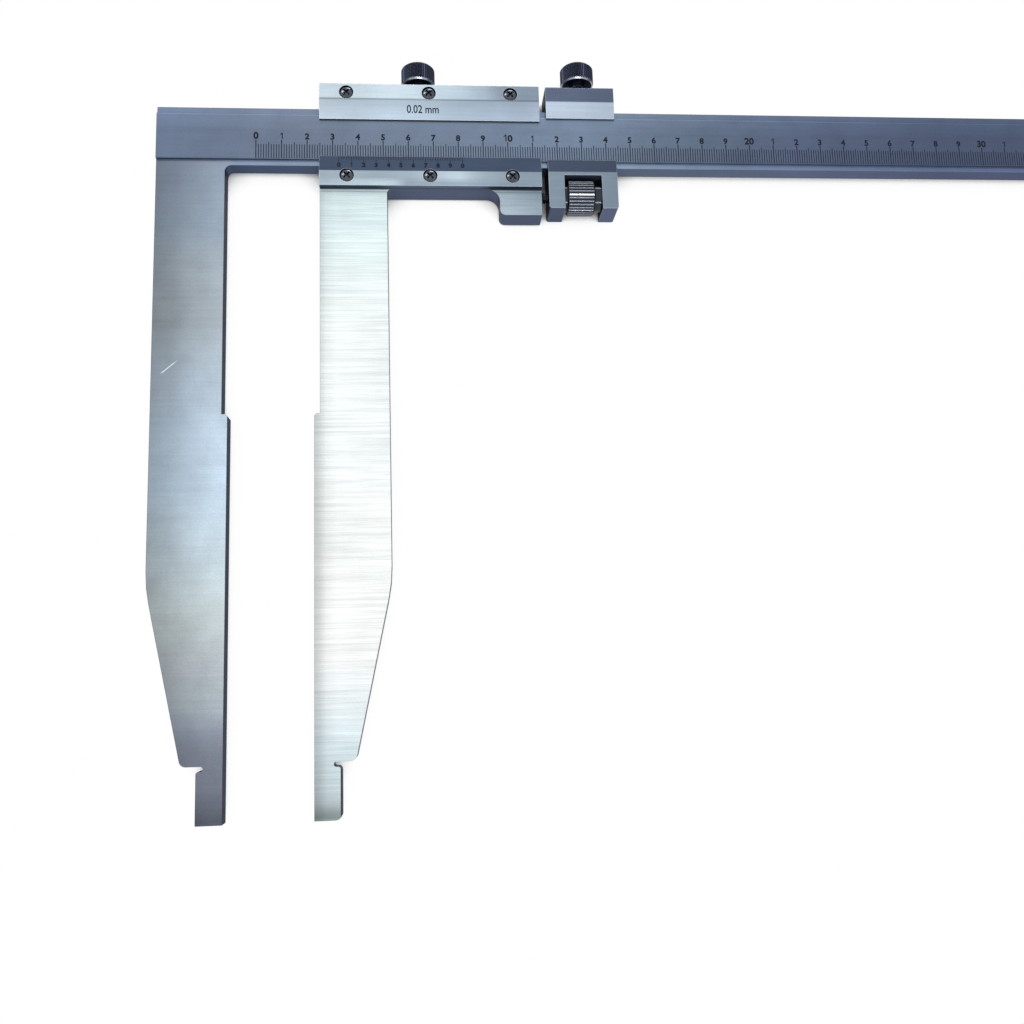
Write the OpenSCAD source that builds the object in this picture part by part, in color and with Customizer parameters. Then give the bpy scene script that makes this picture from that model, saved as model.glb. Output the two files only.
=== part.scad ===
// Long jaw vernier caliper, lying on its back with the scale facing up.
// X runs along the beam, Y runs from the jaw tips towards the beam, and Z is up.
// The origin is the middle of the fixed jaw's measuring face, at half thickness.
// Inside the modules y counts from the lower edge of the scale face, and on the
// slider x counts from the moving jaw's measuring face.

/* [Setting] */
// Gap between the two measuring faces, as read on the scale
opening = 32.5; // [10:0.5:450]
// Largest size that the caliper measures
measuring_range = 500; // [300:10:600]

/* [Beam] */
// Height of the raised face that carries the scale
scale_face_h = 19; // [16:0.5:24]
// Thickness across the two scale faces
beam_t = 8.4; // [7.4:0.2:12]
// How far the edge strips lie below the scale faces
strip_depth = 1; // [0.5:0.1:1.5]
// Height of the strip below the scale face
lower_strip_h = 2.4; // [1:0.1:4]
// Height of the strip above the scale face
upper_strip_h = 3; // [1:0.1:4]
// Radius of the upper corner over the fixed jaw
beam_corner_r = 0.4; // [0.2:0.1:2]
// Beam left over past the carriage when the jaws are fully open
beam_spare = 12; // [8:1:30]

/* [Jaws] */
// Length of a jaw below the beam
jaw_len = 251.3; // [180:0.1:300]
// Width of a jaw at the beam
jaw_w = 28.7; // [24:0.1:34]
// Length of a measuring face, nib included
face_len = 150.4; // [90:0.2:170]
// How far the upper part of a jaw is cut back behind its measuring face
jaw_relief = 2.2; // [1:0.1:3]
// Chamfer where the measuring face begins
face_chamfer = 0.8; // [0.3:0.1:1.5]
// Length of the tapered stretch of the outer edge
taper_len = 64.5; // [40:0.5:80]
// Width of a jaw at the narrow end of its taper
taper_end_w = 15; // [13:0.2:20]
// Radius that eases the outer edge into the taper
taper_blend_r = 58; // [20:1:80]
// Radius of the corner below the taper
heel_r = 2.5; // [1:0.5:4]
// Radius between the fixed jaw and the beam
root_r = 2.5; // [1:0.5:5]

/* [Inside measuring nibs] */
// Length of a nib
nib_len = 20.6; // [14:0.2:30]
// Distance from the measuring face to the crown of the nib
nib_w = 10; // [7:0.5:11]
// Radius of the rounded outer face of a nib
nib_face_r = 9; // [7:0.5:11]
// Radius of the fixed nib's outer corner
fixed_nib_corner_r = 1; // [0.5:0.5:3]
// Radius of the moving nib's outer corner
moving_nib_corner_r = 2.5; // [0.5:0.5:3]
// Depth of the grinding slot above a nib
slot_depth = 2.4; // [1:0.1:3.5]
// Height of the grinding slot above a nib
slot_h = 1.8; // [0.8:0.1:2.5]
// Chamfer of the nib below the mouth of its slot
slot_mouth = 1.1; // [0.3:0.1:1.5]

/* [Slider] */
// Length of the slider along the beam
slider_len = 88.4; // [80:0.2:110]
// Height of the rail below the beam
lower_rail_h = 9.4; // [9:0.1:13]
// Height of the rail above the gib
upper_rail_h = 7.2; // [6.6:0.1:10]
// Thickness of the lower rail and the lug
rail_t = 9.2; // [7.4:0.1:10]
// Thickness of the wall behind the beam
back_wall_t = 2.9; // [2:0.1:5]
// How far the back wall stops short of the lower rail's edge
back_inset = 3.9; // [1:0.1:6]
// Solid length that closes each end of a gib pocket
pocket_end = 3; // [2:0.5:6]
// Radius between the moving jaw and the lower rail
jaw_root_r = 2; // [1:0.5:4]
// Width of the lug that holds the fine adjustment screw
lug_w = 17; // [15:0.5:24]
// How far the lug drops below the rail
lug_drop = 10.8; // [8:0.1:16]
// Radius between the lug and the rail
lug_root_r = 5; // [2:0.5:8]
// Radius of the lug's inner lower corner
lug_corner_r = 2.2; // [1:0.1:4]
// Radius of the lug's outer lower corner
lug_end_r = 0.6; // [0.2:0.2:3]

/* [Plates] */
// Thickness of the cover plate and the vernier plate
plate_t = 2.5; // [2.2:0.1:4]
// How far the cover plate reaches over the scale face
cover_overlap = 2.1; // [1:0.1:5]
// Height of the cover plate's flat part
cover_flat_h = 6.4; // [6:0.1:6.8]
// Thickness left at the cover plate's bevelled edge
cover_edge_t = 0.7; // [0.3:0.1:1.2]
// How far the vernier plate reaches over the scale face
vernier_overlap = 1.3; // [0.4:0.1:2]
// Height of the vernier plate's flat part
vernier_flat_h = 6.2; // [6:0.1:7]
// Thickness left at the vernier plate's bevelled edge
vernier_edge_t = 0.25; // [0.2:0.05:0.6]
// Strip of rail left bare below the vernier plate
vernier_margin = 0.2; // [0.1:0.1:1.5]
// Distance from the vernier plate's lower edge to its screws
vernier_screw_rise = 4.3; // [3.6:0.1:5]

/* [Plate screws] */
// Number of screws in each plate
plate_screws = 3; // [3:1:3]
// Distance from the slider's end to the first screw
screw_inset = 10.8; // [8:0.2:14]
// Distance from the other end of the slider to the last screw
last_screw_inset = 11.7; // [8:0.1:14]
// Diameter of the shanks
screw_d = 3; // [2:0.5:3.5]
// Diameter of the heads
screw_head_d = 5.3; // [5:0.1:6.2]
// Height of the heads
screw_head_h = 1.9; // [1.6:0.1:2.4]
// Radius of the domed tops
screw_dome_r = 5; // [4:0.5:10]
// Depth that the heads sink into the plates
counterbore_depth = 1.6; // [1:0.1:1.8]
// Depth of the tapped holes
screw_hole_depth = 6.8; // [4:0.2:7.4]
// Width across the cross recess
cross_w = 3.2; // [2:0.1:4]
// Width of the slots of the cross recess
cross_slot_w = 0.8; // [0.4:0.1:1.2]
// Depth of the cross recess
cross_depth = 1.1; // [0.5:0.1:1.4]

/* [Gibs] */
// Thickness of the brass strips between beam and rail
gib_t = 2.5; // [1.5:0.1:3]
// Distance from the slider's ends to its gib set screws
set_screw_inset = 25; // [20:0.5:30]
// Width of the slot in the set screws
set_slot_w = 0.5; // [0.3:0.1:0.8]
// Depth of the slot in the set screws
set_slot_depth = 1; // [0.5:0.1:1.5]
// How far the set screws lie below the rail's top
set_screw_sink = 0.6; // [0.2:0.1:1]

/* [Lock screws] */
// Distance of the slider's lock screw from the middle screw of the cover plate
lock_screw_shift = 4.25; // [4:0.05:8]
// Diameter of the threaded shank
lock_d = 4; // [3:0.5:4]
// Diameter of the neck below the head
lock_neck_d = 7; // [6:0.5:8]
// Height of the neck
lock_neck_h = 1.9; // [1:0.1:4]
// Diameter of the knurled head
lock_head_d = 13.6; // [10:0.2:14]
// Height of the knurled head
lock_head_h = 7.4; // [5:0.2:9]
// Chamfer of the head's edges
lock_chamfer = 0.7; // [0.3:0.1:1.2]
// Number of knurl teeth round the head
lock_teeth = 56; // [36:4:72]
// Gap between the slider and the neck of its screw
slider_lock_gap = 0.5; // [0.4:0.1:1]
// Gap between the carriage and the neck of its backed-off screw
carriage_lock_gap = 1.8; // [0.4:0.1:3]

/* [Carriage] */
// Length of the carriage along the beam
carriage_len = 28; // [26:0.5:36]
// Gap between the slider and the carriage
carriage_gap = 2.7; // [2.4:0.1:6]
// Height of the carriage's upper rail
carriage_rail_h = 7.2; // [6:0.1:9]
// Height of the flat part of the carriage's upper lip
upper_lip_flat_h = 6.5; // [4:0.1:7]
// How far the carriage's upper lip reaches over the scale face
upper_lip_overlap = 0.6; // [0.4:0.1:3]
// How far the carriage's lower lip reaches over the scale face
lower_lip_overlap = 0.55; // [0.3:0.05:2]
// Height of the bevel on the carriage's lower lip
lower_bevel_h = 5.75; // [3:0.25:6]
// Length of the legs below the beam
leg_len = 18.2; // [17:0.1:24]
// Radius of the outer lower corners of the legs
leg_corner_r = 1; // [0.4:0.1:3]
// Edge chamfer of the carriage's top
carriage_chamfer = 0.4; // [0.2:0.1:0.8]
// Width of the window for the nut
window_w = 15.2; // [13:0.2:17]
// Thickness of the bridge above the window
bridge_t = 4.1; // [3:0.1:5]

/* [Fine adjustment] */
// Distance from the beam's underside to the screw's axis
fine_drop = 11.5; // [11.2:0.1:13]
// Diameter of the screw
fine_d = 4.5; // [3.5:0.5:5]
// Depth of the screw's hole in the lug
fine_hole_depth = 12; // [8:0.5:14]
// How far the screw's end stops short of the carriage's end
fine_end_inset = 2.4; // [1:0.1:4]
// Chamfer of the screw's end
fine_chamfer = 0.6; // [0.3:0.1:1]
// Diameter of the knurled nut
nut_d = 14; // [11:0.5:15]
// Length of the knurled part of the nut
nut_knurl_len = 11; // [7:0.2:12]
// How far the knurled part sits off the middle of the nut, towards the slider
nut_knurl_shift = 0.9; // [0:0.1:1.2]
// Diameter of the collars at the ends of the nut
nut_collar_d = 11; // [8:0.5:12]
// Chamfer of the knurled part
nut_chamfer = 0.6; // [0.3:0.1:1]
// Number of knurl teeth round the nut
nut_teeth = 32; // [24:2:48]

/* [End stop] */
// Thickness of the end stop plate
end_stop_t = 3; // [2:0.5:6]
// How far the end stop stands out round the beam
end_stop_rim = 2.9; // [1.5:0.1:5]
// Radius of the end stop's corners
end_stop_corner_r = 3; // [1:0.5:5]
// Distance between the two end stop screws
end_screw_pitch = 12; // [8:0.5:16]
// Diameter of the countersunk heads
end_screw_head_d = 5.6; // [5:0.1:6.5]
// Length of the end stop screws
end_screw_len = 12; // [8:1:20]

/* [Clearances] */
// Running clearance between flat guide faces
run_gap = 0.08; // [0.05:0.01:0.15]
// Radial clearance of turning shanks
turn_gap = 0.06; // [0.04:0.01:0.12]
// Radial clearance of threads drawn as plain cylinders
thread_gap = 0.03; // [0.02:0.01:0.05]
// Radial clearance round screw heads and through holes
head_gap = 0.2; // [0.1:0.05:0.3]
// Gap between parts that lie loosely next to each other
seat_gap = 0.02; // [0.01:0.01:0.05]
// End clearance on each side of the nut
nut_gap = 0.1; // [0.05:0.05:0.2]

/* [Hidden] */
$fn = 48;

// Degrees between the points of a rounded corner
arc_step = 9;
// How far a cut reaches past the face that it leaves by
over = 1;
// Overlap that joins two solids which would only touch
bite = 0.002;
// Depth of the knurl teeth
knurl_depth = 0.35;

// Heights along Y, counted from the lower edge of the scale face
beam_bottom = -lower_strip_h;
beam_top = scale_face_h + upper_strip_h;
tip_y = beam_bottom - jaw_len;
face_top_y = tip_y + face_len;
face_mid_y = tip_y + face_len / 2;
nib_top_y = tip_y + nib_len;
taper_top_y = nib_top_y + taper_len;
channel_bottom = beam_bottom - run_gap;
channel_top = beam_top + run_gap;
gib_pocket_top = channel_top + gib_t + seat_gap;
rail_bottom = beam_bottom - lower_rail_h;
slider_top = gib_pocket_top + upper_rail_h;
back_bottom = rail_bottom + back_inset;
lug_bottom = rail_bottom - lug_drop;
fine_y = beam_bottom - fine_drop;
upper_screw_y = gib_pocket_top + upper_rail_h / 2;
vernier_bottom = rail_bottom + vernier_margin;
lower_screw_y = vernier_bottom + vernier_screw_rise;
carriage_top = gib_pocket_top + carriage_rail_h;
leg_bottom = beam_bottom - leg_len;
window_top = beam_bottom - bridge_t;

// Heights along Z
jaw_t = beam_t - 2 * strip_depth;
seat_z = jaw_t / 2;
channel_back = -beam_t / 2 - run_gap;
back_z = channel_back - back_wall_t;
lip_z = beam_t / 2 + run_gap;
front_z = seat_z + plate_t;

// Places along X on the slider, counted from the moving measuring face
slider_x0 = jaw_relief;
slider_x1 = slider_x0 + slider_len;
lug_x0 = slider_x1 - lug_w;
screw_pitch = (slider_len - screw_inset - last_screw_inset) / (plate_screws - 1);
carriage_x0 = slider_x1 + carriage_gap;
carriage_x1 = carriage_x0 + carriage_len;
carriage_mid = (carriage_x0 + carriage_x1) / 2;
lock_x = plate_screw_x(2) - lock_screw_shift;
fine_x0 = slider_x1 - fine_hole_depth;
fine_x1 = carriage_x1 - fine_end_inset;

// Length of a lock screw's shank, which reaches the gib when its neck is one gap off the slider
lock_shank = upper_rail_h + slider_lock_gap;

// Beam length: the carriage's right end at full opening, and some spare
beam_x1 = measuring_range + carriage_x1 + beam_spare;

function unit(v) = v / norm(v);

// Points of the arc of radius r that rounds the corner b between a and c
function corner(a, b, c, r) =
    r == 0 ? [b] :
    let (
        u = unit(a - b),
        v = unit(c - b),
        half = acos(u * v) / 2,
        centre = b + unit(u + v) * r / sin(half),
        start = b + u * r / tan(half) - centre,
        sweep = (180 - 2 * half) * sign(cross(v, u)),
        steps = max(2, ceil(abs(sweep) / arc_step)),
        first = atan2(start.y, start.x)
    )
    [for (k = [0:steps]) centre + r * [cos(first + sweep * k / steps), sin(first + sweep * k / steps)]];

// Outline through points given as [x, y, corner radius]
function rounded(points) =
    let (n = len(points))
    [for (i = [0:n - 1])
        let (a = points[(i + n - 1) % n], b = points[i], c = points[(i + 1) % n])
        each corner([a.x, a.y], [b.x, b.y], [c.x, c.y], b.z)];

// Outline of a wheel with straight knurl teeth: the radius swings between root and crest
function knurled(d, teeth) =
    [for (k = [0:2 * teeth - 1])
        let (r = d / 2 - (k % 2) * knurl_depth)
        r * [cos(180 * k / teeth), sin(180 * k / teeth)]];

// Moves a piece from the scale's coordinates to the frame of the part
module on_beam() {
    translate([0, -face_mid_y, 0])
        children();
}

// Moves a piece from the slider's coordinates to the frame of the part
module on_slider() {
    translate([opening, -face_mid_y, 0])
        children();
}

// Plate of even thickness, drawn in X and Y and centred on the middle plane
module slab(points, t) {
    linear_extrude(t, center = true)
        polygon(rounded(points));
}

// Bar along X with the profile given in Y and Z
module bar(x0, x1, profile) {
    translate([x0, 0, 0])
        rotate([90, 0, 90])
            linear_extrude(x1 - x0)
                polygon(profile);
}

// Box between two opposite corners
module block(a, b) {
    translate(a)
        cube(b - a);
}

// Cylinder along +Y from height y0 to y1
module upright(x, y0, y1, d) {
    translate([x, y1, 0])
        rotate([90, 0, 0])
            cylinder(d = d, h = y1 - y0);
}

// Cylinder along +X from x0 to x1
module along(x0, x1, y, d) {
    translate([x0, y, 0])
        rotate([0, 90, 0])
            cylinder(d = d, h = x1 - x0);
}

// Turns a piece drawn upwards from z = 0 so that it points along +Y from the given point
module standing(x, y) {
    translate([x, y, 0])
        rotate([-90, 0, 0])
            children();
}

// Points of a jaw's edge from its heel to its relief, with the measuring face at x = 0 and
// the jaw on the side that the sign s gives
function face_points(s) = [
    [s * taper_end_w, nib_top_y, heel_r],
    [0, nib_top_y, 0],
    [0, face_top_y - face_chamfer, 0],
    [s * face_chamfer, face_top_y, 0],
    [s * jaw_relief, face_top_y, 0]
];

// Nib with its cylindrical outer face, its measuring face at x = 0 and the rest towards -X
module nib(corner_r) {
    intersection() {
        slab([
            [-nib_w, nib_top_y + over, 0],
            [-nib_w, tip_y, corner_r],
            [0, tip_y, 0],
            [0, nib_top_y + over, 0]
        ], jaw_t);
        upright(nib_face_r - nib_w, tip_y - over, nib_top_y + 2 * over, 2 * nib_face_r);
    }
}

// Slot with a round end that frees the grinding wheel above a nib, with a chamfered mouth
module grinding_slot() {
    crown = slot_mouth - nib_w;
    floor_y = nib_top_y - slot_h;
    slot_end = nib_face_r - nib_w - sqrt(pow(nib_face_r, 2) - pow(jaw_t / 2, 2)) + slot_depth;
    slab([
        [-nib_w - over, nib_top_y, 0],
        [-nib_w - over, floor_y - slot_mouth - over, 0],
        [crown, floor_y, 0],
        [slot_end - slot_h / 2, floor_y, 0],
        [slot_end - slot_h / 2, nib_top_y, 0]
    ], jaw_t + 2 * over);
    translate([slot_end - slot_h / 2, nib_top_y - slot_h / 2, 0])
        cylinder(d = slot_h, h = jaw_t + 2 * over, center = true);
}

// Beam and fixed jaw, ground from one blank, with the raised scale faces front and back
module main_beam() {
    color("slategray") on_beam() difference() {
        union() {
            slab([
                [-jaw_w, beam_top, beam_corner_r],
                [-jaw_w, taper_top_y, taper_blend_r],
                each face_points(-1),
                [-jaw_relief, beam_bottom, root_r],
                [beam_x1, beam_bottom, 0],
                [beam_x1, beam_top, 0]
            ], jaw_t);
            nib(fixed_nib_corner_r);
            block([-jaw_w, 0, -beam_t / 2], [beam_x1, scale_face_h, beam_t / 2]);
        }
        grinding_slot();
        for (y = end_screw_heights())
            along(beam_x1 - end_screw_len, beam_x1 + over, y, screw_d + 2 * thread_gap);
    }
}

function end_screw_heights() =
    let (mid = (beam_bottom + beam_top) / 2)
    [mid - end_screw_pitch / 2, mid + end_screw_pitch / 2];

// Plate that keeps the slider on the beam
module beam_end_stop() {
    half_h = (beam_top - beam_bottom) / 2 + end_stop_rim;
    half_t = beam_t / 2 + end_stop_rim;
    mid = (beam_bottom + beam_top) / 2;
    color("silver") on_beam() difference() {
        translate([beam_x1, mid, 0])
            rotate([90, 0, 90])
                linear_extrude(end_stop_t)
                    polygon(rounded([
                        [-half_h, -half_t, end_stop_corner_r],
                        [half_h, -half_t, end_stop_corner_r],
                        [half_h, half_t, end_stop_corner_r],
                        [-half_h, half_t, end_stop_corner_r]
                    ]));
        for (y = end_screw_heights()) {
            along(beam_x1 - over, beam_x1 + end_stop_t + over, y, screw_d + 2 * head_gap);
            translate([beam_x1 + end_stop_t, y, 0])
                rotate([0, 90, 0])
                    countersunk_head(head_gap / 2);
        }
    }
}

// Cone of a countersunk head that hangs down from z = 0, grown by a gap
module countersunk_head(gap) {
    depth = (end_screw_head_d - screw_d) / 2;
    translate([0, 0, -depth])
        cylinder(d1 = screw_d + 2 * gap, d2 = end_screw_head_d + 2 * gap, h = depth + bite);
}

// Countersunk screw of the end stop
module end_stop_screw(k) {
    top = beam_x1 + end_stop_t;
    color("dimgray") on_beam() translate([top, end_screw_heights()[k], 0]) rotate([0, 90, 0])
        difference() {
            union() {
                countersunk_head(0);
                translate([0, 0, -end_screw_len])
                    cylinder(d = screw_d, h = end_screw_len - over);
            }
            cross_recess();
        }
}

// Cross recess sunk from z = 0
module cross_recess() {
    for (a = [45, 135])
        rotate([0, 0, a])
            translate([-cross_w / 2, -cross_slot_w / 2, -cross_depth])
                cube([cross_w, cross_slot_w, cross_depth + over]);
}

// Frame of the slider with the moving jaw: two rails and a wall behind the beam
module moving_jaw() {
    color("gainsboro") on_slider() difference() {
        union() {
            slab([
                each lug_points(),
                [jaw_w, rail_bottom, jaw_root_r],
                [jaw_w, taper_top_y, taper_blend_r],
                each face_points(1),
                [slider_x0, channel_bottom, 0]
            ], jaw_t);
            mirror([1, 0, 0])
                nib(moving_nib_corner_r);
            translate([0, 0, seat_z - rail_t / 2])
                slab([
                    each lug_points(),
                    [slider_x0, rail_bottom, 0],
                    [slider_x0, channel_bottom, 0]
                ], rail_t);
            block([slider_x0, back_bottom, back_z], [slider_x1, slider_top, seat_z]);
        }
        mirror([1, 0, 0])
            grinding_slot();
        beam_channel(slider_x0, slider_x1);
        for (k = [1:plate_screws])
            for (y = [upper_screw_y, lower_screw_y])
                translate([plate_screw_x(k), y, seat_z - screw_hole_depth])
                    cylinder(d = screw_d + 2 * thread_gap, h = screw_hole_depth + over);
        for (k = [1:2])
            upright(set_screw_x(k), channel_top, slider_top + over, screw_d + 2 * thread_gap);
        upright(lock_x, channel_top, slider_top + over, lock_d + 2 * turn_gap);
        along(fine_x0, slider_x1 + over, fine_y, fine_d + 2 * thread_gap);
    }
}

// Points of the lug, from the top of its right edge to the rail's underside
function lug_points() = [
    [slider_x1, channel_bottom, 0],
    [slider_x1, lug_bottom, lug_end_r],
    [lug_x0, lug_bottom, lug_corner_r],
    [lug_x0, rail_bottom, lug_root_r]
];

// Space for the beam and the gib pocket, open to the front
module beam_channel(x0, x1) {
    block([x0 - over, channel_bottom, channel_back], [x1 + over, channel_top, seat_z + over]);
    block([x0 + pocket_end, channel_bottom, channel_back], [x1 - pocket_end, gib_pocket_top, seat_z + over]);
}

function plate_screw_x(k) = slider_x0 + screw_inset + (k - 1) * screw_pitch;
function set_screw_x(k) = k == 1 ? slider_x0 + set_screw_inset : slider_x1 - set_screw_inset;

// Clearance hole and counterbore of a plate screw
module plate_screw_hole(x, y) {
    translate([x, y, seat_z - over])
        cylinder(d = screw_d + 2 * head_gap, h = plate_t + 2 * over);
    translate([x, y, front_z - counterbore_depth])
        cylinder(d = screw_head_d + 2 * head_gap, h = counterbore_depth + over);
}

// Plate on the upper rail, with a bevel that falls towards the scale
module cover_plate() {
    edge = scale_face_h - cover_overlap;
    color("lightsteelblue") on_slider() difference() {
        bar(slider_x0, slider_x1, [
            [slider_top, seat_z],
            [slider_top, front_z],
            [slider_top - cover_flat_h, front_z],
            [edge, lip_z + cover_edge_t],
            [edge, lip_z],
            [gib_pocket_top, lip_z],
            [gib_pocket_top, seat_z]
        ]);
        for (k = [1:plate_screws])
            plate_screw_hole(plate_screw_x(k), upper_screw_y);
    }
}

// Plate on the lower rail, with the thin bevel that carries the vernier graduations
module vernier_plate() {
    color("lightslategray") on_slider() difference() {
        bar(slider_x0, slider_x1, [
            [vernier_bottom, seat_z],
            [channel_bottom, seat_z],
            [channel_bottom, lip_z],
            [vernier_overlap, lip_z],
            [vernier_overlap, lip_z + vernier_edge_t],
            [vernier_bottom + vernier_flat_h, front_z],
            [vernier_bottom, front_z]
        ]);
        for (k = [1:plate_screws])
            plate_screw_hole(plate_screw_x(k), lower_screw_y);
    }
}

// Domed screw with a cross recess, its head seated in a plate's counterbore
module plate_screw(x, y) {
    seat = front_z - counterbore_depth;
    shank_end = seat_z - screw_hole_depth + head_gap;
    color("dimgray") on_slider() translate([x, y, 0]) difference() {
        union() {
            translate([0, 0, seat])
                intersection() {
                    cylinder(d = screw_head_d, h = screw_head_h);
                    translate([0, 0, screw_head_h - screw_dome_r])
                        sphere(r = screw_dome_r);
                }
            translate([0, 0, shank_end])
                cylinder(d = screw_d, h = seat + screw_head_h / 2 - shank_end);
        }
        translate([0, 0, seat + screw_head_h])
            cross_recess();
    }
}

// Brass strip that takes up the play between the beam and the upper rail
module gib(x0, x1) {
    color("goldenrod") on_slider()
        block(
            [x0 + pocket_end + run_gap, channel_top, channel_back + run_gap],
            [x1 - pocket_end - run_gap, channel_top + gib_t, lip_z - run_gap]
        );
}

// Slotted set screw that bears on the slider's gib
module gib_set_screw(k) {
    foot = gib_pocket_top;
    head = slider_top - set_screw_sink;
    color("dimgray") on_slider() difference() {
        upright(set_screw_x(k), foot, head, screw_d);
        block(
            [set_screw_x(k) - set_slot_w / 2, head - set_slot_depth, -screw_d],
            [set_screw_x(k) + set_slot_w / 2, head + over, screw_d]
        );
    }
}

// Knurled screw that clamps a gib: shank, neck and a flat head with chamfered edges
module lock_screw(x, rail_top, gap) {
    color("midnightblue") on_slider() standing(x, rail_top + gap) {
        translate([0, 0, -lock_shank])
            cylinder(d = lock_d, h = lock_shank);
        cylinder(d = lock_neck_d, h = lock_neck_h);
        translate([0, 0, lock_neck_h])
            knurled_wheel(lock_head_d, lock_head_h, lock_chamfer, lock_teeth);
    }
}

// Wheel with straight knurl teeth and chamfered ends
module knurled_wheel(d, h, chamfer, teeth) {
    intersection() {
        linear_extrude(h)
            polygon(knurled(d, teeth));
        rotate_extrude()
            polygon([
                [0, 0],
                [d / 2 - chamfer, 0],
                [d / 2 + seat_gap, chamfer + seat_gap],
                [d / 2 + seat_gap, h - chamfer - seat_gap],
                [d / 2 - chamfer, h],
                [0, h]
            ]);
    }
}

// Screw of the fine adjustment, fixed in the slider's lug
module fine_adjust_screw() {
    color("silver") on_slider() {
        along(fine_x0, fine_x1 - fine_chamfer, fine_y, fine_d);
        translate([fine_x1 - fine_chamfer, fine_y, 0])
            rotate([0, 90, 0])
                cylinder(d1 = fine_d, d2 = fine_d - 2 * fine_chamfer, h = fine_chamfer);
    }
}

// Frame of the fine adjustment: lips over the scale face, a gib pocket and two legs
module carriage_frame() {
    upper_lip = scale_face_h - upper_lip_overlap;
    lower_bevel = lower_lip_overlap - lower_bevel_h;
    x0 = carriage_x0;
    x1 = carriage_x1;
    color("slategray") on_slider() difference() {
        union() {
            bar(x0, x1, [
                [back_bottom, back_z],
                [carriage_top - carriage_chamfer, back_z],
                [carriage_top, back_z + carriage_chamfer],
                [carriage_top, front_z - carriage_chamfer],
                [carriage_top - carriage_chamfer, front_z],
                [carriage_top - upper_lip_flat_h, front_z],
                [upper_lip, lip_z + cover_edge_t],
                [upper_lip, lip_z],
                [channel_top, lip_z],
                [channel_top, channel_back],
                [channel_bottom, channel_back],
                [channel_bottom, lip_z],
                [lower_lip_overlap, lip_z],
                [lower_lip_overlap, lip_z + vernier_edge_t],
                [lower_bevel, front_z],
                [back_bottom, front_z]
            ]);
            translate([0, 0, (front_z + back_z) / 2])
                slab([
                    [x0, window_top, 0],
                    [x0, leg_bottom, leg_corner_r],
                    [x1, leg_bottom, leg_corner_r],
                    [x1, window_top, 0]
                ], front_z - back_z);
        }
        block(
            [carriage_mid - window_w / 2, leg_bottom - over, back_z - over],
            [carriage_mid + window_w / 2, window_top, front_z + over]
        );
        block([x0 + pocket_end, 0, channel_back], [x1 - pocket_end, gib_pocket_top, lip_z]);
        upright(carriage_mid, channel_top, carriage_top + over, lock_d + 2 * turn_gap);
        along(x0 - over, x1 + over, fine_y, fine_d + 2 * turn_gap);
    }
}

// Knurled nut of the fine adjustment, with a plain collar at each end
module adjusting_nut() {
    total = window_w - 2 * nut_gap;
    color("silver") on_slider() translate([carriage_mid, fine_y, 0]) rotate([0, 90, 0]) difference() {
        union() {
            translate([0, 0, -nut_knurl_len / 2 - nut_knurl_shift])
                knurled_wheel(nut_d, nut_knurl_len, nut_chamfer, nut_teeth);
            cylinder(d = nut_collar_d, h = total, center = true);
        }
        cylinder(d = fine_d + 2 * turn_gap, h = total + 2 * over, center = true);
    }
}

main_beam();
beam_end_stop();
end_stop_screw(0);  // end_stop_screw_1
end_stop_screw(1);  // end_stop_screw_2
moving_jaw();
cover_plate();
vernier_plate();
plate_screw(plate_screw_x(1), upper_screw_y);  // cover_plate_screw_1
plate_screw(plate_screw_x(2), upper_screw_y);  // cover_plate_screw_2
plate_screw(plate_screw_x(3), upper_screw_y);  // cover_plate_screw_3
plate_screw(plate_screw_x(1), lower_screw_y);  // vernier_plate_screw_1
plate_screw(plate_screw_x(2), lower_screw_y);  // vernier_plate_screw_2
plate_screw(plate_screw_x(3), lower_screw_y);  // vernier_plate_screw_3
gib(slider_x0, slider_x1);  // slider_gib
gib_set_screw(1);  // gib_set_screw_1
gib_set_screw(2);  // gib_set_screw_2
lock_screw(lock_x, slider_top, slider_lock_gap);  // slider_lock_screw
fine_adjust_screw();
carriage_frame();
gib(carriage_x0, carriage_x1);  // carriage_gib
lock_screw(carriage_mid, carriage_top, carriage_lock_gap);  // carriage_lock_screw
adjusting_nut();
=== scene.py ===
# %% [markdown]
# # Long jaw vernier caliper
# This notebook dresses the finished CAD model of a vernier caliper with 250 mm jaws. The CAD
# gives every solid its size and place. Here the steel gets its ground, milled and chromed
# finishes, the scales get their lines and numbers, and the fine adjustment gets its thread.

# %% Load the CAD frame
from math import radians, tau

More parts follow.
